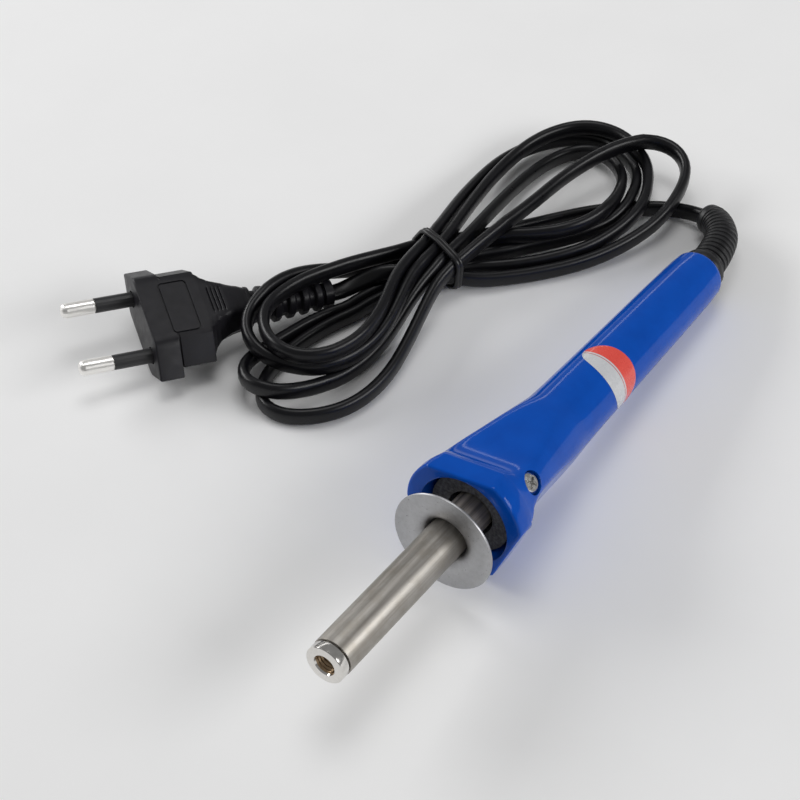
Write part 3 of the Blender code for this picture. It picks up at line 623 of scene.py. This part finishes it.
def make_boot():
    """Ringed rubber tail: a plain collar against the handle, then rings that shrink towards the cord."""
    route = catmull((in_mm(IRON, HANDLE_END + 3.2, 0, 0),) + BOOT_ROUTE, BOOT_STEP)
    total = BOOT_STEP * (len(route) - 1)
    count = 40
    tangent = unit(np.gradient(route, axis=0))
    rings = [ring_points(IRON, HANDLE_END + BOOT_GAP + s, r, count) for s, r in BOOT_COLLAR]
    basis_y = np.array(IRON.to_3x3() @ Vector((0, 1, 0)))
    for i in range(2, len(route)):
        body = boot_radius(BOOT_STEP * i, total)
        t = tangent[i]
        basis_y = unit(basis_y - t * (basis_y @ t))
        basis_z = np.cross(t, basis_y)
        ring = []
        for a in angles(count):
            ring.append(Vector(route[i] + basis_y * body * math.cos(a)
                               + basis_z * body * math.sin(a)) * MM)
        rings.append(ring)
    boot = finish_mesh("boot", loft(rings), 60.0)
    boot.data.materials.append(RUBBER)
    return boot


boot = make_boot()

# -------- tie

WAIST = (50.5, 61.4)
WAIST_DIRECTION = math.radians(-17.0)
TIE_REACH = 1.4                           # strand points this near the waist are inside the tie
CORD_HALVES = (1.7, 2.5)                  # room kept for one strand, across and up
TIE_RADIUS, TIE_AIR = 0.7, 0.5
TIE_TURNS, TIE_SPREAD, TURN_POINTS = 2, 2.0, 40


def hull_radius(cloud, directions):
    """Distance from the origin to the convex hull of a flat cloud, in each direction."""
    order = sorted(map(tuple, cloud))
    chain = []
    for run in (order, order[::-1]):
        base = len(chain)
        for p in run:
            while len(chain) - base >= 2:
                a, b = chain[-2], chain[-1]
                if (b[0] - a[0]) * (p[1] - a[1]) - (b[1] - a[1]) * (p[0] - a[0]) > 0:
                    break
                chain.pop()
            chain.append(p)
        chain.pop()
    out = []
    for d in directions:
        best = 1e9
        for a, b in zip(chain, chain[1:] + chain[:1]):
            normal = np.array([b[1] - a[1], a[0] - b[0]])
            lean = normal @ d
            if lean > 1e-9:
                best = min(best, (normal @ np.array(a)) / lean)
        out.append(best)
    return out


def tie_points():
    """The tie's centre line: a spiral pulled tight round the strands at the waist."""
    waist = np.array(WAIST)
    across = np.array([-math.sin(WAIST_DIRECTION), math.cos(WAIST_DIRECTION)])
    along = np.array([math.cos(WAIST_DIRECTION), math.sin(WAIST_DIRECTION)])
    inside = PATH[np.abs((PATH[:, :2] - waist) @ along) < TIE_REACH]
    sides = (inside[:, :2] - waist) @ across
    wide, tall = CORD_HALVES
    heights = inside[:, 2]
    cloud = np.concatenate([np.stack([sides + wide * math.cos(a), heights + tall * math.sin(a)], axis=1)
                            for a in np.linspace(0.0, 2 * math.pi, 12, endpoint=False)])
    middle = (cloud.min(axis=0) + cloud.max(axis=0)) / 2
    directions = []
    for i in range(TIE_TURNS * TURN_POINTS):
        a = 2 * math.pi * i / TURN_POINTS
        directions.append(np.array([math.cos(a), math.sin(a)]))
    points = []
    for i, (d, r) in enumerate(zip(directions, hull_radius(cloud - middle, directions))):
        drift = (i / len(directions) - 0.5) * TIE_SPREAD
        q = middle + d * (r + TIE_AIR)
        flat = waist + across * q[0] + along * drift
        points.append((flat[0], flat[1], max(0.9, q[1])))
    return points


def make_tie():
    """A thin round plastic-covered wire wound twice round the hank's waist."""
    points = tie_points()
    curve = bpy.data.curves.new("tie", 'CURVE')
    curve.dimensions = '3D'
    curve.bevel_depth = TIE_RADIUS * MM
    curve.bevel_resolution = 4
    curve.use_fill_caps = True
    spline = curve.splines.new('POLY')
    spline.points.add(len(points) - 1)
    for point, p in zip(spline.points, points):
        point.co = (p[0] * MM, p[1] * MM, p[2] * MM, 1.0)
    curve.materials.append(TIE)
    return add_object("tie", curve)


tie = make_tie()

# -------- plug

# Width, width of the broad face between the chamfers, height, and how far back it reaches.
FLANGE = (35.8, 21.2, 13.9, 6.4)
BLOCK = (30.8, 19.4, 12.2, 15.65)
TOP = FLANGE[2] / 2                       # the flange and the block share one broad face
SQUARE = 60                               # an outline's exponent for sharp corners; 4 is nearly round
# The neck and the tail: station, width, face width, height, exponent.
NECK = ((15.9, 26.5, 17.5, 12.2, 40), (17.0, 22.5, 15.0, 12.1, 30), (18.6, 19.0, 12.5, 12.0, 24),
        (20.5, 16.6, 10.8, 11.8, 18), (22.0, 15.2, 9.8, 11.6, 14), (23.5, 14.2, 9.2, 10.6, 12),
        (25.0, 13.0, 8.8, 10.2, 9), (26.2, 12.0, 8.6, 10.0, 8), (27.2, 11.2, 8.2, 9.8, 6),
        (28.2, 10.4, 7.8, 9.8, 5), (33.0, 9.6, 7.0, 9.5, 4.5), (52.0, 7.2, 5.2, 7.0, 4))
NECK_STEP = 0.13
LIFT_END, LIFT_LENGTH = 29.0, 7.0         # the neck sinks from the shared face to the middle here
GRIP_FROM, GRIP_TO, GRIP_FIRST = 17.3, 21.8, 17.8
GRIP_PITCH, GRIP_DEPTH, GRIP_HALF = 1.05, 0.4, 3.9
RIBS_FROM, RIBS_TO, RIB_FIRST = 28.0, 49.5, 28.2
RIB_PITCH, RIB_DEPTH, RIB_PROUD, RIB_SHARE, RIB_EDGE = 3.9, 1.15, 0.25, 0.27, 0.03
SOCKET_SIDE, SOCKET_RADIUS, SOCKET_DEPTH = 9.3, 2.3, 4.6
PLUG_SHARP = 24.0


def plug_outline(station, width, top_width, height, soft, lift=0.0, groove=0.0):
    """The plug's outline at a station, with rounded corners and, where asked, a finger groove."""
    w, h, t = width / 2, height / 2, top_width / 2
    slope = math.atan2(w - t, h)
    ring = []
    for a in angles(72):
        c, s = abs(math.cos(a)), abs(math.sin(a))
        chamfer = (c * math.cos(slope) + s * math.sin(slope)) / (w * math.cos(slope))
        radius = ((s / h) ** soft + chamfer ** soft) ** (-1.0 / soft)
        across, up = radius * math.cos(a), radius * math.sin(a)
        if abs(across) < GRIP_HALF and abs(up) > h * 0.8:
            up -= math.copysign(groove, up)
        ring.append(PLUG @ mm(station, across, up + lift))
    return ring


def plug_head():
    """Outlines of the flange, the recess behind it and the block."""
    rings = []
    w, t, h, f = FLANGE
    for inset, drop, s in ((0.55, 0.45, 0.0), (0.15, 0.12, -0.15), (0.0, 0.0, -0.4), (0.0, 0.0, -f + 0.3),
                           (0.1, 0.0, -f + 0.1), (0.3, 0.0, -f)):
        rings.append(plug_outline(s, w - 2 * inset, t - 2 * inset, h - 2 * drop, SQUARE))
    w, t, h, b = BLOCK
    for inset, s in ((0.9, -f - 0.01), (0.9, -f - 0.5), (0.0, -f - 0.55), (0.0, -b + 0.5),
                     (0.2, -b + 0.15), (0.6, -b)):
        rings.append(plug_outline(s, w - 2 * inset, t - inset, h, SQUARE, TOP - h / 2))
    return rings


def neck_at(station):
    """Width, face width, height and exponent of the neck at a station."""
    for one, two in zip(NECK, NECK[1:]):
        if one[0] <= station <= two[0] + 1e-6:
            share = (station - one[0]) / (two[0] - one[0])
            return [p + (q - p) * share for p, q in zip(one[1:], two[1:])]


def plug_neck():
    """Outlines of the neck with its finger grooves and of the ribbed tail."""
    rings = []
    station = NECK[0][0]
    while station <= PLUG_TAIL:
        width, top, height, soft = neck_at(station)
        lift = (TOP - BLOCK[2] / 2) * min(1.0, max(0.0, (LIFT_END - station) / LIFT_LENGTH))
        groove = 0.0
        if GRIP_FROM < station < GRIP_TO:
            wave = math.cos(2 * math.pi * (station - GRIP_FIRST) / GRIP_PITCH)
            groove = GRIP_DEPTH * max(0.0, wave) ** 2
        ridge = 0.0
        if RIBS_FROM < station < RIBS_TO:
            phase = ((station - RIB_FIRST) / RIB_PITCH) % 1.0
            into = 0.5 - abs(phase - 0.5) - RIB_SHARE
            ridge = -RIB_DEPTH / (1.0 + math.exp(-into / RIB_EDGE)) + RIB_PROUD
        rings.append(plug_outline(-station, width + 2 * ridge, top + 1.2 * ridge, height + 2 * ridge,
                                  soft, lift, groove))
        station += NECK_STEP
    rings.append(plug_outline(-PLUG_TAIL, 5.0, 3.6, 4.8, 4))
    return rings


def pin_socket(side):
    """A cutter for the hole that one pin's sleeve sits in."""
    place = PLUG @ Matrix.Translation(mm(0, side * SOCKET_SIDE, 0))
    ends = [ring_points(place, s, SOCKET_RADIUS, 32) for s in (-SOCKET_DEPTH, 1.0)]
    return finish_mesh("socket", loft(ends), 30.0)


def make_plug():
    """Two-pin plug: flange, block with chamfered sides, necked tail with grip lines and open ribs."""
    body = finish_mesh("plug", loft(plug_head() + plug_neck()), PLUG_SHARP)
    for side in (-1, 1):
        cut(body, pin_socket(side))
    for side in (-1, 1):
        cut(body, panel_groove(side))
    refinish(body, PLUG_SHARP, PLUG_BLACK)
    return body


def panel_groove(side):
    """A cutter for the thin rounded-rectangle channel in one broad face."""
    long_half, wide_half, corner, thick, deep = 3.8, 8.2, 1.3, 0.45, 0.35
    middle, shift = -9.3, 0.6
    face = TOP if side > 0 else BLOCK[2] - TOP
    above, below = face + 2.2, face - deep
    loops = []
    for offset, height in ((0.0, above), (0.0, below), (thick, below), (thick, above)):
        loop = []
        for q in range(4):
            for k in range(7):
                a = math.pi / 2 * (q + k / 6.0)
                cx = (long_half - corner) * (1 if q in (0, 3) else -1)
                cy = (wide_half - corner) * (1 if q in (0, 1) else -1)
                x = middle + cx + (corner - offset) * math.cos(a)
                y = cy + (corner - offset) * math.sin(a) + shift
                loop.append(PLUG @ mm(x, y, height * side))
        loops.append(loop)
    return finish_mesh("groove", loft(loops, True))


plug = make_plug()

# -------- handle

RIM, COLLAR_END, CONE_END = 53.5, 59.2, 94.0
# Stations with the radius of the handle's corners, and with the distance of its three flats.
CORNERS = ((RIM, 15.65), (56.5, 15.65), (58.0, 15.4), (COLLAR_END, 15.1), (60.0, 14.85), (62.0, 14.4),
           (66.0, 13.9), (70.0, 13.3), (76.0, 12.2), (CONE_END, 9.15), (100.0, 8.9), (112.0, 8.62),
           (130.0, 8.25), (150.0, 7.88), (165.0, 7.5), (168.6, 7.2), (169.2, 6.95), (169.5, 6.65),
           (HANDLE_END, 6.2))
FLATS = ((RIM, 12.85), (COLLAR_END - 0.16, 12.85), (COLLAR_END - 0.1, 12.7), (COLLAR_END, 12.25),
         (COLLAR_END + 0.14, 12.35), (60.2, 12.15), (61.5, 11.4), (63.0, 10.6), (66.0, 9.7),
         (70.0, 9.3), (80.0, 9.2), (CONE_END, 9.7), (100.0, 14.0))
FLAT_NORMALS = (99.0, -20.5, 219.0)
# The cavity, from the rear hole to the mouth.
CAVITY = ((HANDLE_END, 5.2), (HANDLE_END - 0.2, 5.0), (160.0, 5.0), (160.0, 6.2), (75.0, 6.2),
          (70.0, 7.7), (60.6, 7.7), (60.6, 10.8), (59.9, 10.9), (RIM + 0.5, 11.65),
          (RIM + 0.12, 11.75), (RIM, 11.95))
HANDLE_COUNT = 144
HANDLE_SHARP = 28.0
SHARP_FLATS, SOFT_FLATS = 260.0, 26.0     # exponents that set how crisply flats and corners meet
SCREW_PLACE = 65.6
SCREW_ANGLE = math.radians(40.0)
SCREW_FACE = 13.4
SCREW_DEPTH, SCREW_HOLE, HEAD_HOLE = 2.0, 1.7, 2.95


def eased(stops, station):
    """Straight interpolation through the stops, smoothed a little behind the collar."""
    s, v = zip(*stops)
    if station < COLLAR_END + 1.0 or station > 167.0:
        return float(np.interp(station, s, v))
    near = np.linspace(-1.0, 1.0, 9) * min(3.0, station - COLLAR_END - 0.9)
    weight = np.exp(-np.linspace(-1.6, 1.6, 9) ** 2)
    return float((np.interp(station + near, s, v) * weight).sum() / weight.sum())


def handle_ring(station, inset=0.0):
    """The handle's outline at a station: a circle trimmed by three flats with softened edges."""
    corner = eased(CORNERS, station) - inset
    flat = eased(FLATS, station) - inset
    blend = min(1.0, max(0.0, (station - COLLAR_END) / 3.0))
    softness = SHARP_FLATS - (SHARP_FLATS - SOFT_FLATS) * blend
    ring = []
    for a in angles(HANDLE_COUNT):
        total = 1.0
        for normal in FLAT_NORMALS:
            lean = math.cos(a - math.radians(normal))
            if lean > 0.2:
                total += (corner * lean / flat) ** softness
        radius = corner * total ** (-1.0 / softness)
        ring.append(IRON @ mm(station, -radius * math.cos(a), radius * math.sin(a)))
    return ring


def inner_circle(station, radius):
    """A circle whose points face those of the handle's outline."""
    return [IRON @ mm(station, -radius * math.cos(a), radius * math.sin(a)) for a in angles(HANDLE_COUNT)]


def screw_frame():
    """X runs outward along the screw's axis."""
    outward = Vector((0.0, -math.cos(SCREW_ANGLE), math.sin(SCREW_ANGLE)))
    return IRON @ Matrix.Translation(mm(SCREW_PLACE, 0, 0)) @ Vector(
        (1, 0, 0)).rotation_difference(outward).to_matrix().to_4x4()


def make_handle():
    """The blue shell: rounded rim, flat-sided collar with a fine step behind it, cone and slim grip."""
    rings = []
    for back, inset in ((0.0, 0.75), (0.04, 0.5), (0.14, 0.25), (0.3, 0.08), (0.5, 0.0)):
        rings.append(handle_ring(RIM + back, inset))
    marks = list(np.linspace(RIM + 1.2, COLLAR_END - 0.4, 5))
    marks += [COLLAR_END + step for step in (-0.2, -0.16, -0.1, 0.0, 0.14, 0.3)]
    marks += list(np.linspace(COLLAR_END + 0.5, 72.0, 24)) + list(np.linspace(73.0, 103.0, 26))
    marks += list(np.linspace(107.0, 165.0, 16))
    marks += [167.0, 168.0, 168.6, 169.0, 169.3, 169.5, 169.62, HANDLE_END]
    rings += [handle_ring(s) for s in marks]
    rings += [inner_circle(s, r) for s, r in CAVITY]
    shell = finish_mesh("handle_shell", loft(rings, True), HANDLE_SHARP)
    frame_here = screw_frame()
    floor = SCREW_FACE - SCREW_DEPTH
    bore = ((6.0, SCREW_HOLE), (floor, SCREW_HOLE), (floor, HEAD_HOLE), (17.0, HEAD_HOLE + 0.05))
    cut(shell, finish_mesh("bore", loft([ring_points(frame_here, s, r, 48) for s, r in bore]), 30.0))
    refinish(shell, HANDLE_SHARP, BLUE)
    return shell


handle = make_handle()

# -------- rating label

LABEL_FROM, LABEL_TO = math.radians(-28.0), math.radians(120.0)
LABEL_MIDDLE, LABEL_REACH = 114.4, 5.6
LABEL_PROUD, LABEL_EDGE_DROP = 0.13, 0.09
NONE, FULL = (0.0,) * 3, (1.0,) * 3       # the ends of a mask


def label_material():
    """Printed film: a silver half on the nose side, with a fine red rule in it, then a red half."""
    mat, tree, shader = new_material("label_film")
    where = place_map(tree)
    uv = tree.nodes.new("ShaderNodeUVMap")
    uv.uv_map = "film"
    split = tree.nodes.new("ShaderNodeSeparateXYZ")
    tree.links.new(uv.outputs["UV"], split.inputs["Vector"])
    silver = ramp(tree, noise(tree, where, 0.5, 6.0),
                  (0.3, (0.60, 0.61, 0.63)), (0.7, (0.64, 0.65, 0.67)))
    red = ramp(tree, noise(tree, where, 0.6, 6.0),
               (0.3, (0.78, 0.075, 0.055)), (0.7, (0.83, 0.090, 0.066)))
    edge = ramp(tree, split.outputs["Y"], (0.50, NONE), (0.51, FULL))
    base = blend_colors(tree, edge, silver, red)
    rule = ramp(tree, split.outputs["Y"], (0.435, NONE), (0.44, FULL), (0.455, FULL), (0.46, NONE))
    base = blend_colors(tree, rule, base, (0.50, 0.06, 0.05))
    tree.links.new(base, shader.inputs["Base Color"])
    tree.links.new(spread(tree, noise(tree, where, 1.5), 0.22, 0.32), shader.inputs["Roughness"])
    shader.inputs["Coat Weight"].default_value = 0.4
    shader.inputs["Coat Roughness"].default_value = 0.12
    bump(tree, shader, noise(tree, where, 0.8), 0.4, 0.01)
    return mat


def make_label():
    """The oval sticker wrapped round the grip, its face a hair proud of the plastic."""
    bm = bmesh.new()
    film = bm.loops.layers.uv.new("film")
    columns, rows = 72, 16
    grid = []
    for i in range(columns + 1):
        share = math.sin((-1 + 2 * i / columns) * math.pi / 2)
        a = LABEL_FROM + (LABEL_TO - LABEL_FROM) * (share + 1) / 2
        reach = LABEL_REACH * math.sqrt(max(0.0, 1 - share * share)) + 0.05
        column = []
        for k in range(rows + 1):
            station = LABEL_MIDDLE + reach * (2 * k / rows - 1)
            r = eased(CORNERS, station) + LABEL_PROUD
            if k in (0, rows) or i in (0, columns):
                r -= LABEL_EDGE_DROP
            vert = bm.verts.new(IRON @ mm(station, -r * math.cos(a), r * math.sin(a)))
            column.append((vert, (share, (station - LABEL_MIDDLE) / LABEL_REACH / 2 + 0.5)))
        grid.append(column)
    for one, two in zip(grid, grid[1:]):
        for k in range(rows):
            corners = (one[k], two[k], two[k + 1], one[k + 1])
            face = bm.faces.new([c[0] for c in corners])
            for loop, corner in zip(face.loops, corners):
                loop[film].uv = corner[1]
    obj = finish_mesh("label", bm, 60.0)
    obj.data.materials.append(label_material())
    return obj


label = make_label()

# -------- metal front


def make_barrel():
    """Plain steel tube."""
    return turned("barrel", ((2.9, 4.92), (92.0, 4.92), (92.0, 4.3), (2.9, 4.3)), BARREL, 0.12)


def make_disc():
    """Pressed guard: a flat plate whose hole is drawn back into a smooth collar."""
    front, back, hole = 44.9, 45.7, 5.22
    front_bend, back_bend = 9.4, 9.6
    profile = [(front, front_bend), (front + 0.02, 12.75), (front + 0.12, 13.0), (front + 0.4, 13.1),
               (back - 0.12, 13.02), (back, 12.75), (back + 0.02, back_bend)]
    for k in range(1, 9):
        a = math.pi / 2 * k / 8
        profile.append((back + 2.6 * (1 - math.cos(a)), back_bend - 3.6 * math.sin(a)))
    inner_bend = front_bend - hole - 0.03
    profile += [(back + 4.5, hole + 0.75), (back + 4.6, hole + 0.5), (back + 4.55, hole + 0.02),
                (back + 3.0, hole)]
    for k in range(8, 0, -1):
        a = math.pi / 2 * k / 8
        profile.append((front + 2.7 * (1 - math.cos(a)), front_bend - inner_bend * math.sin(a)))
    return turned("disc", profile, DISC, 0.0, count=120)


NOSE_END = 12.0
BORE_RADIUS, BORE_MOUTH = 2.2, 0.45
THREAD_PITCH, THREAD_DEPTH, THREAD_EASE = 0.8, 0.38, 0.6


def thread_radius(station, turn):
    """The bore's radius: a mouth chamfer, then a thread that fades in and out."""
    phase = (station / THREAD_PITCH + turn) % 1.0
    fade_in = min(1.0, max(0.0, (station - 0.6) / THREAD_EASE))
    fade_out = min(1.0, max(0.0, (NOSE_END - station) / THREAD_EASE))
    chamfer = 0.3 * max(0.0, 1 - (station - BORE_MOUTH) / 0.5)
    return BORE_RADIUS + THREAD_DEPTH * (1 - abs(2 * phase - 1)) * (fade_in * fade_out) + chamfer


def make_nose():
    """Screwed-in nose bush: a polished shoulder, a chamfered mouth and a cut thread."""
    profile = [(0.0, 2.7), (0.0, 4.55), (0.07, 4.7), (0.2, 4.8), (2.3, 4.8), (2.6, 4.62), (2.6, 3.95),
               (NOSE_END, 3.95), (NOSE_END, BORE_RADIUS)]
    count, steps = 72, 110
    rings = [ring_points(IRON, s, r, count) for s, r in profile]
    for k in range(steps + 1):
        station = NOSE_END - (NOSE_END - BORE_MOUTH) * k / steps
        ring = []
        for i, a in enumerate(angles(count)):
            r = thread_radius(station, i / count)
            ring.append(IRON @ mm(station, r * math.cos(a), r * math.sin(a)))
        rings.append(ring)
    nose = finish_mesh("nose", loft(rings, True), 35.0)
    nose.data.materials.append(CHROME)
    nose.data.materials.append(BRASS)
    axis = IRON.inverted()
    for face in nose.data.polygons:
        centre = axis @ face.center / MM
        if math.hypot(centre.y, centre.z) < 2.68 and centre.x > 0.35:
            face.material_index = 1
    return nose


def make_washer():
    """Pressed board washer with a rough edge that seals the handle's mouth."""
    return turned("washer", ((56.6, 10.5), (60.3, 10.5), (60.3, 5.9), (56.6, 5.9)), WASHER, 0.25)


barrel = make_barrel()
disc = make_disc()
nose = make_nose()
washer = make_washer()

# -------- stage and light


def make_stage():
    """A wide, plain, nearly white floor just under the object."""
    mat, tree, shader = new_material("floor")
    where = place_map(tree)
    pale = ramp(tree, noise(tree, where, 40.0), (0.3, (0.93, 0.93, 0.93)), (0.7, (0.95, 0.95, 0.95)))
    tree.links.new(pale, shader.inputs["Base Color"])
    shader.inputs["Roughness"].default_value = 0.85
    shader.inputs["Specular IOR Level"].default_value = 0.2
    bm = bmesh.new()
    bmesh.ops.create_grid(bm, x_segments=2, y_segments=2, size=6.0)
    floor = finish_mesh("floor", bm)
    floor.data.materials.append(mat)
    floor.location = (0.0, 0.0, -0.0002)


def area_light(name, place, aim, size, power):
    """A white rectangular light of so many watts, turned to its aim; metres."""
    data = bpy.data.lights.new(name, 'AREA')
    data.shape = 'RECTANGLE'
    data.size = size[0]
    data.size_y = size[1]
    data.energy = power
    lamp = add_object(name, data)
    lamp.location = place
    lamp.rotation_euler = (Vector(aim) - Vector(place)).to_track_quat('-Z', 'Y').to_euler()


make_stage()
bpy.context.scene.view_settings.view_transform = 'Standard'
world = bpy.data.worlds.new("studio")
bpy.context.scene.world = world
world.use_nodes = True
background = world.node_tree.nodes["Background"]
background.inputs["Color"].default_value = (1.0, 1.0, 1.0, 1.0)
background.inputs["Strength"].default_value = 0.22
centre = (0.04, 0.045, 0.0)
area_light("softbox_right", (0.25, -0.95, 0.55), centre, (0.9, 0.35), 6.0)
area_light("softbox_left", (-0.15, 1.05, 0.50), centre, (1.0, 0.35), 6.5)
area_light("softbox_top", (0.25, 0.20, 1.15), centre, (0.6, 0.6), 3.0)
area_light("strip_back", (0.75, 0.95, 0.32), centre, (1.3, 0.08), 0.7)

# -------- who rides on what

RIDERS = ((cord, "cord_jacket"), (boot, "boot_rubber"), (tie, "tie_plastic"), (plug, "plug_plastic"),
          (handle, "handle_plastic"), (label, "label_film"), (barrel, "barrel_steel"),
          (disc, "disc_steel"), (nose, "nose_chrome"), (washer, "washer_board"))
for piece, words in RIDERS:
    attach(piece, "iron")
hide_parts("cord_hank", "cord_lead", "cord_plug_lead")
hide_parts("strain_relief_boot")
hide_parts("cord_tie")
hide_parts("plug_body")
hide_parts("handle")
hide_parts("rating_label")
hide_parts("barrel_tube")
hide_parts("guard_disc")
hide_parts("nose_bush")
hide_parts("insulating_washer")
